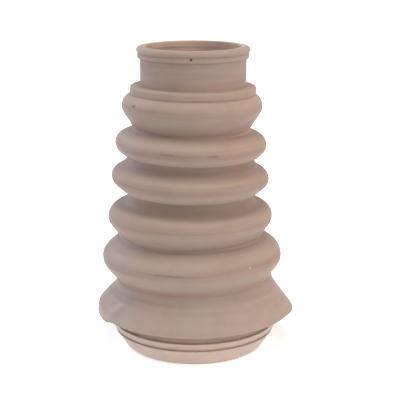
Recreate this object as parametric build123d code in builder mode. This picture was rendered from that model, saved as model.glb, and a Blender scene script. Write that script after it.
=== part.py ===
from build123d import *
from math import asin, atan2, cos, degrees, hypot, radians, sqrt, tan
import os

# Toilet pan connector: one rubber moulding, a bellows between a pipe neck and a tapered plug.
# It stands on the plug. Its axis is +Z, and the middle of the plug's lower rim is the origin.
# Sizes are in millimetres and degrees. A depth runs along the axis, a step stands out from the wall,
# and a drop is measured down from the edge above.

# Rubber
wall = 2.0
edge_radius = 0.3

# Neck, with a rolled bead and a narrow band round its mouth
neck_bore = 38.0
neck_length = 15.6
neck_foot_radius = 2.0
bead_step = 1.5
bead_depth = 2.7
band_step = 1.0
band_depth = 2.2
band_drop = 4.4

# Shoulder ring, the stop for a hose clip on the neck
shoulder_step = 4.0
shoulder_depth = 3.6
shoulder_edge_radius = 0.8

# Bellows, from the plug up: each root, the crest above it, and the rises to and from that crest.
# Straight flanks run between their rounded roots and crests.
root_diameters = [63.4, 57.8, 46.8, 49.8, 46.8]
root_radii = [4.0, 1.0, 1.0, 1.0, 1.0]
crest_diameters = [72.8, 66.4, 63.4, 60.6, 56.0]
crest_radii = [5.6, 4.7, 3.7, 4.1, 5.2]
rises_to_crest = [9.0, 7.5, 9.1, 7.0, 8.9]
rises_from_crest = [9.0, 6.9, 6.7, 6.5, 8.0]

# Skirt, which flares from the lowest root and laps over the pan's inlet
skirt_angle = 39.0
skirt_bend_radius = 7.0
skirt_length = 12.6
skirt_edge = 1.0
crease_radius = 0.8

# Plug, with a sealing rib above a tapered nose
plug_height = 28.9
nose_step = 1.0
nose_depth = 7.2
nose_taper = 34.6
nose_edge_radius = 2.0
groove_depth = 1.1
rib_step = 1.4
rib_depth = 2.1

# Sizes that follow from these
ring_root = max(wall / 4, edge_radius)
neck_radius = neck_bore / 2 + wall
bead_radius = (wall + bead_step) / 2
plug_radius = root_diameters[0] / 2
nose_radius = plug_radius + nose_step
nose_tip_radius = nose_radius - nose_depth * tan(radians(nose_taper))
nose_lip = wall / cos(radians(nose_taper))
rib_base = nose_depth + groove_depth
rib_top = rib_base + rib_depth

# Turning points of the outer skin, from the lowest root to the foot of the neck, each with its arc's radius
turns = []
turn_height = plug_height
roots = zip(root_diameters, root_radii, rises_to_crest)
crests = zip(crest_diameters, crest_radii, rises_from_crest)
for root, crest in zip(roots, crests):
    for diameter, arc_radius, rise in (root, crest):
        turns.append((Vector(diameter / 2, turn_height), arc_radius))
        turn_height += rise
turns.append((Vector(neck_radius, turn_height), neck_foot_radius))
mouth_height = turn_height + neck_length
bead_height = mouth_height - bead_depth / 2
band_height = mouth_height - band_drop
shoulder_height = turn_height

with BuildPart() as connector:
    # The whole moulding is one half-section turned about its axis
    with BuildSketch(Plane.XZ) as section:
        # Wall of the plug, bellows and neck: an arc, a flank and an arc from turn to turn, at one thickness
        with BuildLine():
            Line((plug_radius, nose_depth), turns[0][0])
            for (start, start_radius), (end, end_radius) in zip(turns, turns[1:]):
                out = 1 if end.X > start.X else -1
                arc_radii = start_radius + end_radius
                across = abs(end.X - start.X) - arc_radii
                rise = end.Y - start.Y
                flank_angle = degrees(atan2(across, rise) + asin(arc_radii / hypot(across, rise)))
                flank_length = sqrt(across**2 + rise**2 - arc_radii**2)
                first = JernArc(start, (0, 1), start_radius, -out * flank_angle)
                flank = PolarLine(first @ 1, flank_length, direction=first % 1)
                TangentArc(flank @ 1, end, tangent=flank % 1)
            Line(turns[-1][0], (neck_radius, bead_height))
            offset(amount=wall, side=Side.LEFT)
        make_face()

        # Bead round the mouth, rolled outwards from a flat rim, and the band below it
        with Locations((neck_bore / 2 + bead_radius, bead_height)):
            Ellipse(bead_radius, bead_depth / 2)
        with Locations((neck_bore / 2, mouth_height)):
            RectangleRounded(bead_radius, bead_depth, edge_radius, align=(Align.MIN, Align.MAX))
        with Locations((neck_radius + band_step, band_height)):
            Rectangle(band_step + ring_root, band_depth, align=(Align.MAX, Align.MIN))

        # Shoulder ring, with its foot and inner edge inside the wall where the neck flares into the bellows
        with BuildLine():
            FilletPolyline(
                (neck_radius - ring_root, shoulder_height),
                (neck_radius + shoulder_step, shoulder_height),
                (neck_radius + shoulder_step, shoulder_height - shoulder_depth),
                (neck_radius + shoulder_step / 4, shoulder_height - shoulder_depth),
                radius=[0, shoulder_edge_radius, 0, 0],
                close=True,
            )
        make_face()

        # Sealing rib
        with Locations((plug_radius + rib_step, rib_top)):
            RectangleRounded(rib_step + ring_root, rib_depth, edge_radius, align=Align.MAX)

        # Tapered nose
        with BuildLine():
            FilletPolyline(
                (plug_radius - wall, nose_depth),
                (nose_radius, nose_depth),
                (nose_tip_radius, 0),
                (nose_tip_radius - nose_lip, 0),
                radius=[0, edge_radius, nose_edge_radius, edge_radius],
                close=True,
            )
        make_face()

        # Skirt, a bent flap that thins to a round edge
        with BuildLine():
            bend = JernArc((plug_radius - wall / 2, plug_height), (0, -1), skirt_bend_radius, skirt_angle)
        trace(line_width=wall)
        flap_start = bend @ 1
        flap_end = flap_start + (bend % 1) * skirt_length
        flap_side = (bend % 1).rotate(Axis.Z, 90)
        with BuildLine():
            Polyline(
                flap_start + flap_side * wall / 2,
                flap_end + flap_side * skirt_edge / 2,
                flap_end - flap_side * skirt_edge / 2,
                flap_start - flap_side * wall / 2,
                close=True,
            )
        make_face()
        with Locations(flap_end):
            Circle(skirt_edge / 2)

        # Crease between the skirt and the plug
        plug_corners = section.vertices().filter_by_position(
            Axis.X, plug_radius - edge_radius, plug_radius + edge_radius
        )
        crease = plug_corners.filter_by_position(Axis.Y, rib_top + edge_radius, plug_height - wall)
        fillet(crease, radius=crease_radius)
    revolve(axis=Axis.Z)

connector.part.label = "pan_connector"
os.makedirs("parts", exist_ok=True)
export_step(connector.part, "parts/pan_connector.step")
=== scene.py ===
"""Looks for the toilet pan connector: one rubber moulding, bent and marked by use, on a pale floor."""

import math

import bmesh
import bpy
from mathutils import Matrix, Vector, noise
from mathutils.bvhtree import BVHTree


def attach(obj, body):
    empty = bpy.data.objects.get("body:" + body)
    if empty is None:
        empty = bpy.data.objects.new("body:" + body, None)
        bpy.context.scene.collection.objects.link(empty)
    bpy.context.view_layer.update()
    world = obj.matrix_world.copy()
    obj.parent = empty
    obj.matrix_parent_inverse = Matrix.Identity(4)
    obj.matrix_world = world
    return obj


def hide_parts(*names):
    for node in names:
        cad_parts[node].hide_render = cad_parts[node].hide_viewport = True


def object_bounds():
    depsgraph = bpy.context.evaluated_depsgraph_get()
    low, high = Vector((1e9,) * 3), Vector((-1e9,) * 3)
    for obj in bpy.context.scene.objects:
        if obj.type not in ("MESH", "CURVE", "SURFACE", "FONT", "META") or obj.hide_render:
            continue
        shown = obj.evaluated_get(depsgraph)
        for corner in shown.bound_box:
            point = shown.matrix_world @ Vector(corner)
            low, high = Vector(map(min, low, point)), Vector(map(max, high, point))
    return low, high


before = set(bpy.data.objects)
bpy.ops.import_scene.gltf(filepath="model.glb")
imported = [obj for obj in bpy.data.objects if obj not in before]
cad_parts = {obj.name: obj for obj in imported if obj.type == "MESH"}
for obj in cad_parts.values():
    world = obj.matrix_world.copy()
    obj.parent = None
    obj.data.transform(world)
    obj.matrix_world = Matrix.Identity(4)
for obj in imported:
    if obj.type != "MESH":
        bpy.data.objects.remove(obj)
cad_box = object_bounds()
mm = 0.001

# Mesh of the moulding: how finely the half-section is followed, how many steps it is turned in, and the
# angle from which an edge shows sharp
weld = 0.001 * mm
turn_step = math.radians(9)
run_step = 1.2 * mm
turning_steps = 224
sharp_edge = math.radians(40)

# How the soft bellows has settled: heights in millimetres with how far the ring there has moved to the
# right, and its tilt in degrees down to the right and to the back. The plug below them stands true, and
# the tilt to the back turns about the front of the neck.
settled = [
    (20, 0.0, 0.0, 0.0),
    (28, 0.0, -1.1, 0.0),
    (32, -0.4, -1.5, 0.0),
    (41, -1.2, -1.2, 0.0),
    (52, -1.7, 0.1, 0.0),
    (62, -1.2, 0.6, 0.0),
    (72, -1.6, 1.4, 0.0),
    (82, -1.3, 1.4, 0.0),
    (94, -1.1, 1.3, 0.2),
    (108, -0.4, 0.5, 1.0),
    (124, -0.3, 0.0, 1.0),
]
neck_front = 21 * mm

# Deep roots that the roll above has sagged over: each one's height and radius, the radius of the roll's
# lip and how far the root is stretched up behind it, in millimetres. The stretch comes in between
# root_below and root_above, measured up from the root, and has run out within sag_reach.
sagged = [
    (61.3, 23.4, 27.6, 3.0),
    (77.1, 24.9, 27.6, 2.5),
]
sag_reach = 7.5 * mm
root_below, root_above = -3.2 * mm, 1.2 * mm

# Slight waves in the skin
wave_length = 24 * mm
wave_depth = 0.1 * mm

# The skirt's flap, measured from where its straight run starts, and its fold on the left: the flap is
# lifted there and its edge turned down, up to a slanting ridge on the front. In front it is a little
# short, by front_trim where it faces forward by front_share or more.
skirt_start = Vector((32.3 * mm, 24.5 * mm))
skirt_flare = math.radians(39)
skirt_length = 13 * mm
skirt_lowest, skirt_highest = 13 * mm, 29 * mm
skirt_inside, skirt_free = 31.8 * mm, 34 * mm
lift_softness = 2.5 * mm
fold_distance = 9.4 * mm
fold_softness = 1.6 * mm
fold_lift = math.radians(4)
fold_drop = math.radians(-34)
fold_front = math.radians(36)
fold_slant = math.radians(10)
fold_front_softness = math.radians(5)
fold_back = math.radians(75)
fold_back_softness = math.radians(30)
ridge_height = 0.7 * mm
ridge_width = math.radians(4.5)
front_trim = 1.5 * mm
front_share = 0.45

# Camera of the photograph, whose frame is square, with its sensor in millimetres
photo_size = 400
focal_pixels = 1206
sensor_width = 36
camera_place = Vector((2.34 * mm, -474.0 * mm, 181.6 * mm))
camera_target = Vector((2.34 * mm, 0, 60.15 * mm))

# Soft lamps of the studio: place and size in metres, how bright each makes a white surface, and its tint.
# The lowest is the lit middle of the table, under the part.
lamps = [
    ("top_softbox", (0.0, -0.25, 0.85), 0.45, 0.53, "#FFFAF0"),
    ("top_right_softbox", (0.5, -0.35, 0.6), 0.45, 0.10, "#FFF6F0"),
    ("left_softbox", (-0.75, 0.0, 0.2), 0.5, 0.15, "#E2ECFF"),
    ("right_softbox", (0.7, -0.15, 0.2), 0.5, 0.265, "#FFF6EC"),
    ("front_softbox", (0.0, -0.85, 0.45), 0.5, 0.195, "#FFFFFF"),
    ("back_left_softbox", (-0.55, 0.35, 0.4), 0.5, 0.43, "#D8E2FF"),
    ("back_right_softbox", (0.55, 0.35, 0.4), 0.5, 0.16, "#FFE6DA"),
    ("table_panel", (0.0, 0.0, 0.0003), 0.24, 2.6, "#EEF5FF"),
]

# White floor and surround, in metres. The floor's own white is shadow_lift within shadow_reach of the
# middle, where the part's shadow lies, and full beyond white_from.
white = "#FFFFFF"
paper_colour = "#EEEEEE"
paper_roughness = 0.9
floor_reach = 2.0
shadow_reach, white_from = 0.06, 0.25
shadow_lift = 0.60

# Rubber: its own colour; the paler colours of the plug and the bore, which are painted light, standing in
# for the table's bounce light on the plug and for the light inside the bore; and cloudy tints of the mix,
# each with its size in millimetres and how much of it shows at most. A range is the levels of noise between
# which a tint comes in.
rubber_ior, rubber_specular = 1.52, 0.4
rubber_colour = "#B29D8F"
# Painted light: the plug is paler, standing in for the bounce light from the lit table below it
plug_painted_light_colour = "#CEB6A5"
plug_top = (22 * mm, 26 * mm)
plug_edge = (33.4 * mm, 34.2 * mm)
# Painted light: the bore is paler, standing in for the light that reaches inside the neck
bore_painted_light_colour = "#E4C4B5"
bore_edge = (19.4 * mm, 20.2 * mm)
clouds = [
    ("pink", "#C39A8D", 24, 0.32),
    ("olive", "#AFA187", 15, 0.36),
    ("lilac", "#B0A3A5", 19, 0.20),
    ("brown", "#9E8779", 6, 0.16),
]
cloud_range = (0.42, 0.68)
cloud_detail = 3
streak_colour = "#94766A"
streak_length, streak_height = 34 * mm, 1.6 * mm
streak_share = 0.11
streak_range = (0.5, 0.75)
streak_detail = 2

# Rings of painted light and shade: painted shade in the creases, round the crests, at the foot of the
# shoulder, on the neck, in the crevices of the bead and its band and in the skirt's gap, and painted light
# on the rib and the undersides of the rolls. Each one's height and reach in millimetres, its tint and how
# much it shows. Along a ring the tint comes and goes with the streaks' noise over broken_range, from
# broken_least of its share to all of it, and the roughness of the skin goes with it.
# Tint of the painted shade
ring_painted_shade_colour = "#8E645B"
# Tint of the painted light
ring_painted_light_colour = "#E2CDC2"
painted_light_and_shade_rings = [
    # Painted light on the rib in the skirt's shade, then painted shade in the gap above the rib
    (9.8, 1.7, ring_painted_light_colour, 0.70),
    (11.9, 1.1, ring_painted_shade_colour, 0.65),
    # Painted shade in the creases and round the crests, and painted light on the undersides of the rolls
    (29.8, 3.0, ring_painted_shade_colour, 0.60),
    (38.6, 3.0, ring_painted_shade_colour, 0.40),
    (46.8, 1.6, ring_painted_shade_colour, 0.60),
    (55.0, 3.0, ring_painted_shade_colour, 0.38),
    (61.5, 4.0, ring_painted_light_colour, 0.15),
    (65.8, 3.5, ring_painted_light_colour, 0.35),
    (70.6, 3.0, ring_painted_shade_colour, 0.40),
    (77.0, 3.5, ring_painted_shade_colour, 0.30),
    (80.6, 3.0, ring_painted_light_colour, 0.18),
    (84.0, 3.0, ring_painted_shade_colour, 0.40),
    (90.5, 1.2, ring_painted_shade_colour, 0.60),
    (99.8, 3.0, ring_painted_shade_colour, 0.24),
    # Painted shade at the foot of the shoulder, on the neck and in the crevices of the band and the bead
    (104.4, 0.8, ring_painted_shade_colour, 0.45),
    (111.5, 7.0, ring_painted_shade_colour, 0.14),
    (118.4, 0.8, ring_painted_shade_colour, 0.45),
    (120.5, 0.8, ring_painted_shade_colour, 0.50),
]
broken_range = (0.3, 0.7)
broken_least = 0.4
smooth_roughness, rough_roughness = 0.52, 0.68
grain_size = 0.9 * mm
grain_depth = 0.015 * mm
grain_detail = 3

# Marks of use, each with its pixel in the photograph, its length along the ring and its height in
# millimetres, its colour and how strong it is. A mark fades out over mark_edge, in shares of its half
# length and height, and ragged_range is how far noise pushes that edge in and out.
marks = [
    ("pinhole", (191, 60), 1.1, 1.2, "#241B18", 0.95),
    ("scuff", (133.5, 106.5), 3.2, 1.0, "#4A3932", 0.75),
    ("left_streak", (168, 155.4), 8.5, 1.1, "#7E6156", 0.55),
    ("middle_streak", (191, 156.8), 14.0, 1.2, "#857058", 0.30),
    ("right_streak", (213.5, 157), 5.5, 1.2, "#7E6156", 0.55),
    ("low_streak", (169, 276.5), 18.0, 1.0, "#846458", 0.5),
    ("pale_speck", (250, 268), 1.1, 1.1, "#D8CCC0", 0.6),
]
mark_edge = (0.4, 1.2)
ragged_size = 1.5 * mm
ragged_range = (0.5, 1.5)


def colour(hex_code):
    """Linear colour with alpha, from an sRGB hex value."""
    parts = [int(hex_code[i:i + 2], 16) / 255 for i in (1, 3, 5)]
    linear = [p / 12.92 if p <= 0.04045 else ((p + 0.055) / 1.055) ** 2.4 for p in parts]
    return (*linear, 1)


def add_node(tree, kind, settings=None, **links):
    """One node, with its settings, and each named input linked or set. Blanks in a name are underscores,
    and input_ with a number is the input at that place: a mix of colours has its share at 0 and the two
    colours at 6 and 7, and its result is output 2."""
    node = tree.nodes.new(kind)
    for name, value in (settings or {}).items():
        setattr(node, name, value)
    for name, value in links.items():
        if name.startswith("input_"):
            socket = node.inputs[int(name.removeprefix("input_"))]
        else:
            socket = node.inputs[name.replace("_", " ")]
        if isinstance(value, bpy.types.NodeSocket):
            tree.links.new(value, socket)
        else:
            socket.default_value = value
    return node


def smooth(low, high, value):
    """0 at low, 1 at high, and an easy curve between."""
    share = min(max((value - low) / (high - low), 0), 1)
    return share * share * (3 - 2 * share)


def half_section(node):
    """Edge of the solid's half-section in order, cut from the CAD mesh by a plane through its axis."""
    cut = bmesh.new()
    cut.from_mesh(node.data)
    bmesh.ops.remove_doubles(cut, verts=cut.verts, dist=weld)
    bmesh.ops.bisect_plane(
        cut, geom=cut.verts[:] + cut.edges[:] + cut.faces[:], dist=weld,
        plane_co=(0, 0, 0), plane_no=(0, 1, 0), clear_inner=True, clear_outer=True,
    )
    first = max((vert for vert in cut.verts if vert.co.x > 0), key=lambda vert: vert.co.z)
    edge = first.link_edges[0]
    outline = [first.co.copy()]
    vert = edge.other_vert(first)
    while vert is not first:
        outline.append(vert.co.copy())
        edge = next(other for other in vert.link_edges if other is not edge)
        vert = edge.other_vert(vert)
    cut.free()
    return outline


def evenly_spaced(outline):
    """The outline with a point at each step of its turning, and points added on its straight runs."""
    kept = [outline[0]]
    turned_by = 0
    for before, point, after in zip(outline, outline[1:], outline[2:] + outline[:1]):
        turned_by += (point - before).angle(after - point)
        longest = max((point - kept[-1]).length, (after - point).length)
        if turned_by > turn_step or longest > run_step:
            kept.append(point)
            turned_by = 0
    spaced = []
    for point, after in zip(kept, kept[1:] + kept[:1]):
        steps = math.ceil((after - point).length / run_step)
        spaced += [point.lerp(after, step / steps) for step in range(steps)]
    return spaced


def settled_at(height):
    """How far the ring at this height has moved to the right, and its tilt to the right and to the back."""
    height /= mm
    low, high = next(pair for pair in zip(settled, settled[1:]) if height < pair[1][0])
    share = smooth(low[0], high[0], height)
    moved, right, back = (start + (end - start) * share for start, end in zip(low[1:], high[1:]))
    return moved * mm, math.radians(right), math.radians(back)


def turned(point, centre, angle):
    """A point of the half-section after a turn about a centre."""
    arm = point - centre
    return centre + Vector((
        arm.x * math.cos(angle) - arm.y * math.sin(angle),
        arm.x * math.sin(angle) + arm.y * math.cos(angle),
    ))


def fold_skirt(place):
    """Lifts the flap on the left and turns its edge down, as a fold in the soft skirt does."""
    radius = place.xy.length
    if radius < skirt_inside or not skirt_lowest < place.z < skirt_highest:
        return place
    along = Vector((math.sin(skirt_flare), -math.cos(skirt_flare)))
    out = Vector((-along.y, along.x))
    point = Vector((radius, place.z))
    distance = (point - skirt_start).dot(along)
    free = smooth(skirt_inside, skirt_free, radius) * smooth(-lift_softness, lift_softness, distance)
    forward = math.atan2(-place.y, -place.x)
    ridge = fold_front + fold_slant * (skirt_length / 2 - distance) / skirt_length
    if forward > 0:
        share = 1 - smooth(ridge - fold_front_softness, ridge + fold_front_softness, forward)
    else:
        share = 1 - smooth(fold_back - fold_back_softness, fold_back + fold_back_softness, -forward)
    on_edge = smooth(fold_distance - fold_softness, fold_distance + fold_softness, distance)
    point = turned(point, skirt_start + along * fold_distance, fold_drop * share * free * on_edge)
    point = turned(point, skirt_start, fold_lift * share * free)
    point += out * ridge_height * free * math.exp(-((forward - ridge) / ridge_width) ** 2)
    in_front = smooth(0, front_share, -place.y / radius) * (1 - share)
    point -= along * front_trim * in_front * smooth(0, skirt_length, distance)
    return Vector((place.x * point.x / radius, place.y * point.x / radius, point.y))


def sag_lift(place):
    """How far a point at a deep root stands up behind the lip of the roll that has sagged over it."""
    for root_height, root_radius, lip_radius, lift in sagged:
        above = place.z - root_height * mm
        if abs(above) < sag_reach:
            inwards = smooth(lip_radius, root_radius, place.xy.length / mm)
            return lift * mm * inwards * smooth(root_below, root_above, above)
    return 0


def settle(place):
    """Where a point of the moulding has come to after use: skirt folded, roots stretched behind the rolls
    that sag over them, skin a little wavy, rings moved and tilted."""
    moved, right, back = settled_at(place.z)
    free = smooth(0, skirt_highest, place.z)
    place = fold_skirt(place)
    place.z += sag_lift(place)
    place.xy *= 1 + free * wave_depth * noise.noise(place / wave_length) / place.xy.length
    drop = right * place.x + back * (place.y + neck_front)
    return Vector((place.x + moved, place.y, max(place.z - drop, 0)))


def make_moulding(node):
    """The moulding as one closed skin: the CAD half-section turned about the axis, then settled."""
    skin = bmesh.new()
    verts = [skin.verts.new(point) for point in evenly_spaced(half_section(node))]
    edges = [skin.edges.new(pair) for pair in zip(verts, verts[1:] + verts[:1])]
    bmesh.ops.spin(
        skin, geom=verts + edges, axis=(0, 0, 1), cent=(0, 0, 0),
        angle=math.tau, steps=turning_steps, use_merge=True,
    )
    bmesh.ops.recalc_face_normals(skin, faces=skin.faces)
    for vert in skin.verts:
        vert.co = settle(vert.co)
    for face in skin.faces:
        face.smooth = True
    mesh = bpy.data.meshes.new("moulded_bellows")
    skin.to_mesh(mesh)
    skin.free()
    mesh.set_sharp_from_angle(angle=sharp_edge)
    piece = bpy.data.objects.new("moulded_bellows", mesh)
    bpy.context.scene.collection.objects.link(piece)
    return piece


def plain_rubber(tree, place):
    """The rubber's own colour, with painted light on the plug and in the bore: paler colours there, each a
    zone within some limits.
    """
    height = add_node(tree, "ShaderNodeSeparateXYZ", Vector=place).outputs["Z"]
    flat = add_node(
        tree, "ShaderNodeVectorMath", {"operation": "MULTIPLY"}, input_0=place, input_1=(1, 1, 0)
    )
    radius = add_node(
        tree, "ShaderNodeVectorMath", {"operation": "LENGTH"}, Vector=flat.outputs["Vector"]
    ).outputs["Value"]
    below_top, inside_plug, inside_bore = (
        add_node(
            tree, "ShaderNodeMapRange", {"interpolation_type": "SMOOTHSTEP"},
            Value=measure, From_Min=start, From_Max=end, To_Min=1, To_Max=0,
        ).outputs[0]
        for measure, (start, end) in ((height, plug_top), (radius, plug_edge), (radius, bore_edge))
    )
    on_plug = add_node(
        tree, "ShaderNodeMath", {"operation": "MULTIPLY"}, input_0=below_top, input_1=inside_plug
    )
    # Painted light: the paler plug colour stands in for the table's bounce light
    surface = add_node(
        tree, "ShaderNodeMix", {"data_type": "RGBA"},
        input_0=on_plug.outputs[0], input_6=colour(rubber_colour), input_7=colour(plug_painted_light_colour),
    )
    # Painted light: the paler bore colour stands in for the light inside the neck
    return add_node(
        tree, "ShaderNodeMix", {"data_type": "RGBA"},
        input_0=inside_bore, input_6=surface.outputs[2], input_7=colour(bore_painted_light_colour),
    ).outputs[2]


def add_clouds(tree, place, surface):
    """A surface colour with the cloudy tints over it, each a fall of noise of its own."""
    for number, (name, tint, size, share) in enumerate(clouds):
        cloud = add_node(
            tree, "ShaderNodeTexNoise", {"noise_dimensions": "4D", "label": name},
            Vector=place, W=number, Scale=1 / (size * mm), Detail=cloud_detail,
        )
        amount = add_node(
            tree, "ShaderNodeMapRange", {"interpolation_type": "SMOOTHSTEP"}, Value=cloud.outputs["Fac"],
            From_Min=cloud_range[0], From_Max=cloud_range[1], To_Min=0, To_Max=share,
        )
        surface = add_node(
            tree, "ShaderNodeMix", {"data_type": "RGBA"},
            input_0=amount.outputs[0], input_6=surface, input_7=colour(tint),
        ).outputs[2]
    return surface


def add_streaks(tree, streak, surface):
    """A surface colour with streaks round the rings over it."""
    amount = add_node(
        tree, "ShaderNodeMapRange", {"interpolation_type": "SMOOTHSTEP"}, Value=streak,
        From_Min=streak_range[0], From_Max=streak_range[1], To_Min=0, To_Max=streak_share,
    )
    return add_node(
        tree, "ShaderNodeMix", {"data_type": "RGBA"},
        input_0=amount.outputs[0], input_6=surface, input_7=colour(streak_colour),
    ).outputs[2]


def add_painted_light_and_shade_rings(tree, place, streak, surface):
    """A surface colour with the rings of painted light and painted shade over it, broken along their length
    and each tilted as the moulding has settled there."""
    broken = add_node(
        tree, "ShaderNodeMapRange", Value=streak,
        From_Min=broken_range[0], From_Max=broken_range[1], To_Min=broken_least,
    )
    for ring_height, reach, tint, share in painted_light_and_shade_rings:
        moved, right, back = settled_at(ring_height * mm)
        level = add_node(
            tree, "ShaderNodeVectorMath", {"operation": "DOT_PRODUCT"},
            input_0=place, input_1=(right, back, 1),
        )
        away = add_node(
            tree, "ShaderNodeMath", {"operation": "SUBTRACT"}, input_0=level.outputs["Value"],
            input_1=ring_height * mm + right * moved - back * neck_front,
        )
        gap = add_node(tree, "ShaderNodeMath", {"operation": "ABSOLUTE"}, input_0=away.outputs[0])
        ring = add_node(
            tree, "ShaderNodeMapRange", {"interpolation_type": "SMOOTHSTEP"},
            Value=gap.outputs[0], From_Min=0, From_Max=reach * mm, To_Min=share, To_Max=0,
        )
        amount = add_node(
            tree, "ShaderNodeMath", {"operation": "MULTIPLY"},
            input_0=ring.outputs[0], input_1=broken.outputs[0],
        )
        # Each ring paints light with the pale tint and shade with the dark tint
        surface = add_node(
            tree, "ShaderNodeMix", {"data_type": "RGBA"},
            input_0=amount.outputs[0], input_6=surface, input_7=colour(tint),
        ).outputs[2]
    return surface


def seen_at(pixel, skin):
    """Axes and place of the skin that the camera sees at a pixel: along its ring, up it and out of it."""
    right, down = ((count - photo_size / 2) / focal_pixels for count in pixel)
    view = (camera_target - camera_place).to_track_quat("-Z", "Y")
    place, out, *_ = skin.ray_cast(camera_place, view @ Vector((right, -down, -1)))
    ring = Vector((0, 0, 1)).cross(out).normalized()
    return Matrix((ring, out.cross(ring), out)).transposed(), place


def add_marks(tree, place, surface, piece):
    """A surface colour with the marks of use over it, each with a ragged edge."""
    corners = [vert.co for vert in piece.data.vertices]
    skin = BVHTree.FromPolygons(corners, [face.vertices for face in piece.data.polygons])
    ragged = add_node(tree, "ShaderNodeTexNoise", Vector=place, Scale=1 / ragged_size)
    edge = add_node(
        tree, "ShaderNodeMapRange", Value=ragged.outputs["Fac"],
        To_Min=ragged_range[0], To_Max=ragged_range[1],
    )
    for name, pixel, length, height, tint, share in marks:
        axes, middle = seen_at(pixel, skin)
        spot = add_node(
            tree, "ShaderNodeMapping", {"vector_type": "TEXTURE", "label": name}, Vector=place,
            Location=middle, Rotation=axes.to_euler(), Scale=Vector((length, height, length)) * mm / 2,
        )
        distance = add_node(tree, "ShaderNodeVectorMath", {"operation": "LENGTH"}, Vector=spot.outputs[0])
        reach = add_node(
            tree, "ShaderNodeMath", {"operation": "MULTIPLY"},
            input_0=distance.outputs["Value"], input_1=edge.outputs[0],
        )
        strength = add_node(
            tree, "ShaderNodeMapRange", {"interpolation_type": "SMOOTHSTEP"}, Value=reach.outputs[0],
            From_Min=mark_edge[0], From_Max=mark_edge[1], To_Min=share, To_Max=0,
        )
        surface = add_node(
            tree, "ShaderNodeMix", {"data_type": "RGBA"},
            input_0=strength.outputs[0], input_6=surface, input_7=colour(tint),
        ).outputs[2]
    return surface


def moulded_rubber(piece):
    """Natural rubber with filler, compression moulded: a dull pinkish buff, matte, cloudy where the mix
    came out pinker, more olive or greyer, faintly streaked round the rings, and finely grained; with
    painted light on the plug, in the bore and on some rings, and painted shade in rings at the creases,
    crests and neck."""
    material = bpy.data.materials.new("moulded_natural_rubber")
    material.use_nodes = True
    tree = material.node_tree
    shader = tree.nodes["Principled BSDF"]
    shader.inputs["IOR"].default_value = rubber_ior
    shader.inputs["Specular IOR Level"].default_value = rubber_specular
    place = add_node(tree, "ShaderNodeTexCoord").outputs["Object"]

    # Streaks, thin up the skin and long round it
    drawn_out = add_node(
        tree, "ShaderNodeMapping", Vector=place,
        Scale=(1 / streak_length, 1 / streak_length, 1 / streak_height),
    )
    streak = add_node(
        tree, "ShaderNodeTexNoise", Vector=drawn_out.outputs[0], Scale=1, Detail=streak_detail
    ).outputs["Fac"]

    surface = plain_rubber(tree, place)
    surface = add_clouds(tree, place, surface)
    surface = add_streaks(tree, streak, surface)
    surface = add_painted_light_and_shade_rings(tree, place, streak, surface)
    surface = add_marks(tree, place, surface, piece)
    tree.links.new(surface, shader.inputs["Base Color"])

    # Grain left by the mould, about 0.3 mm on the real one and drawn coarser so that it shows
    grain = add_node(tree, "ShaderNodeTexNoise", Vector=place, Scale=1 / grain_size, Detail=grain_detail)
    bump = add_node(tree, "ShaderNodeBump", Height=grain.outputs["Fac"], Distance=grain_depth, Strength=1)
    tree.links.new(bump.outputs[0], shader.inputs["Normal"])
    finish = add_node(
        tree, "ShaderNodeMapRange", Value=streak, From_Min=broken_range[0], From_Max=broken_range[1],
        To_Min=smooth_roughness, To_Max=rough_roughness,
    )
    tree.links.new(finish.outputs[0], shader.inputs["Roughness"])
    return material


def point_at(thing, target):
    """Turns a lamp or the camera towards a place."""
    thing.rotation_euler = (target - thing.location).to_track_quat("-Z", "Y").to_euler()


def add_camera():
    """The photograph's camera, level and square."""
    data = bpy.data.cameras.new("camera")
    data.sensor_width = sensor_width
    data.lens = sensor_width * focal_pixels / photo_size
    camera = bpy.data.objects.new("camera", data)
    camera.location = camera_place
    point_at(camera, camera_target)
    bpy.context.scene.collection.objects.link(camera)
    bpy.context.scene.camera = camera


def add_softbox(name, place, target, size, level, tint):
    """A square soft lamp. Its level is how bright it alone makes white that faces it at the target."""
    data = bpy.data.lights.new(name, "AREA")
    lamp = bpy.data.objects.new(name, data)
    lamp.location = place
    point_at(lamp, target)
    data.size = size
    data.energy = level * (math.pi * (target - place).length) ** 2
    data.color = colour(tint)[:3]
    lamp.visible_camera = False
    bpy.context.scene.collection.objects.link(lamp)


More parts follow.
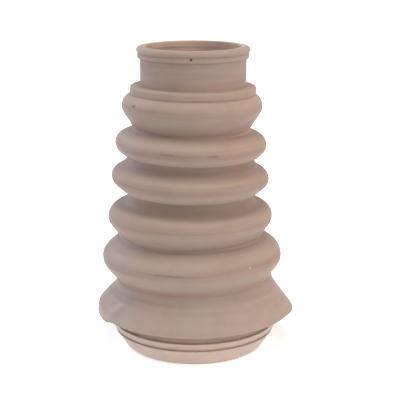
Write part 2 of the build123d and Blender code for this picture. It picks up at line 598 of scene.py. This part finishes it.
def seen_share(tree):
    """1 for what the camera sees, straight or by a reflection or through glass, and 0 for other light."""
    path = add_node(tree, "ShaderNodeLightPath")
    straight = add_node(
        tree, "ShaderNodeMath", {"operation": "MAXIMUM"},
        input_0=path.outputs["Is Camera Ray"], input_1=path.outputs["Is Glossy Ray"],
    )
    return add_node(
        tree, "ShaderNodeMath", {"operation": "MAXIMUM"},
        input_0=straight.outputs[0], input_1=path.outputs["Is Transmission Ray"],
    ).outputs[0]


def white_paper():
    """Matte white paper, which keeps a faint shadow near the part and is plain white further off."""
    paper = bpy.data.materials.new("white_paper")
    paper.use_nodes = True
    tree = paper.node_tree
    shader = tree.nodes["Principled BSDF"]
    shader.inputs["Base Color"].default_value = colour(paper_colour)
    shader.inputs["Roughness"].default_value = paper_roughness
    shader.inputs["Emission Color"].default_value = colour(white)
    place = add_node(tree, "ShaderNodeTexCoord").outputs["Object"]
    distance = add_node(tree, "ShaderNodeVectorMath", {"operation": "LENGTH"}, Vector=place)
    lift = add_node(
        tree, "ShaderNodeMapRange", {"interpolation_type": "SMOOTHSTEP"}, Value=distance.outputs["Value"],
        From_Min=shadow_reach, From_Max=white_from, To_Min=shadow_lift, To_Max=1,
    )
    seen_lift = add_node(
        tree, "ShaderNodeMath", {"operation": "MULTIPLY"},
        input_0=seen_share(tree), input_1=lift.outputs[0],
    )
    tree.links.new(seen_lift.outputs[0], shader.inputs["Emission Strength"])
    return paper


def add_stage():
    """A white floor that keeps the part's shadow, a white surround and soft lamps."""
    floor_mesh = bpy.data.meshes.new("floor")
    sides = (-floor_reach, floor_reach)
    floor_mesh.from_pydata([(x, y, 0) for y in sides for x in sides], [], [(0, 1, 3, 2)])
    floor_mesh.materials.append(white_paper())
    floor = bpy.data.objects.new("floor", floor_mesh)
    bpy.context.scene.collection.objects.link(floor)

    world = bpy.data.worlds.new("surround")
    world.use_nodes = True
    tree = world.node_tree
    background = tree.nodes["Background"]
    background.inputs["Color"].default_value = colour(white)
    tree.links.new(seen_share(tree), background.inputs["Strength"])
    bpy.context.scene.world = world

    middle = (cad_box[0] + cad_box[1]) / 2
    for name, place, size, level, tint in lamps:
        add_softbox(name, Vector(place), middle, size, level, tint)


add_camera()
add_stage()
moulding = make_moulding(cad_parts["pan_connector"])
moulding.data.materials.append(moulded_rubber(moulding))
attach(moulding, "root")
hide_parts("pan_connector")
bpy.context.scene.view_settings.view_transform = "Standard"
